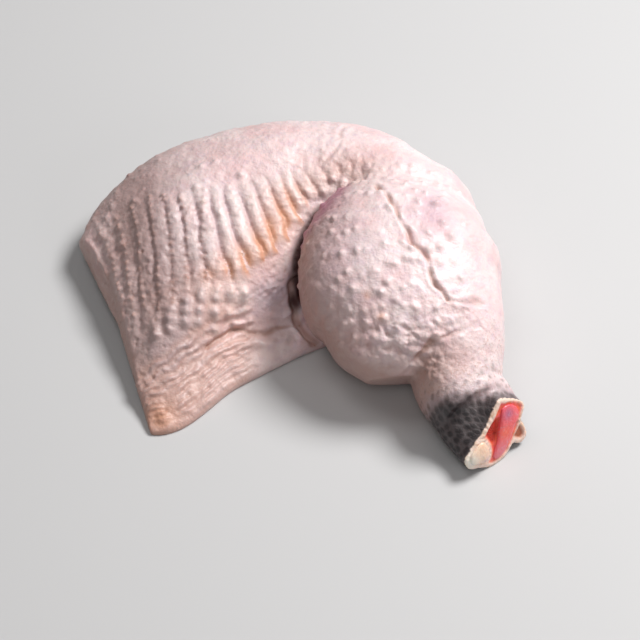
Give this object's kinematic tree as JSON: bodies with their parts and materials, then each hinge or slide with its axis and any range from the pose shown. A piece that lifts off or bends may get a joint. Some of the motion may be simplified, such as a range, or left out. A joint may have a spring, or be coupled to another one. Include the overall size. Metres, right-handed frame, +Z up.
{
  "type": "raw chicken leg quarter",
  "caption": "Raw poultry leg quarter with its skin on, folded at the knee, with a ridged thigh, a rounded drumstick and a hock cut across to show the bone end.",
  "frame": {"origin": "middle of the bounding box's bottom, on the surface that the leg lies on", "axes": "+Z up, skin side up; +X along the longest side, from the cut hip end towards the drumstick; -Y towards the near edge, where the thigh's ledge and the cut hock are"},
  "size_m": [0.1558, 0.1388, 0.0495],
  "materials": {
    "skin": "moist, pale pink raw skin with cream ridges, grey scales at the hock",
    "bone_end": "wet, pink-red bone end",
    "cartilage": "wet, cream white"
  },
  "bodies": {
    "root": {"leg": "skin", "shin_bone": "bone_end", "joint_cartilage": "cartilage"}
  },
  "joints": []
}
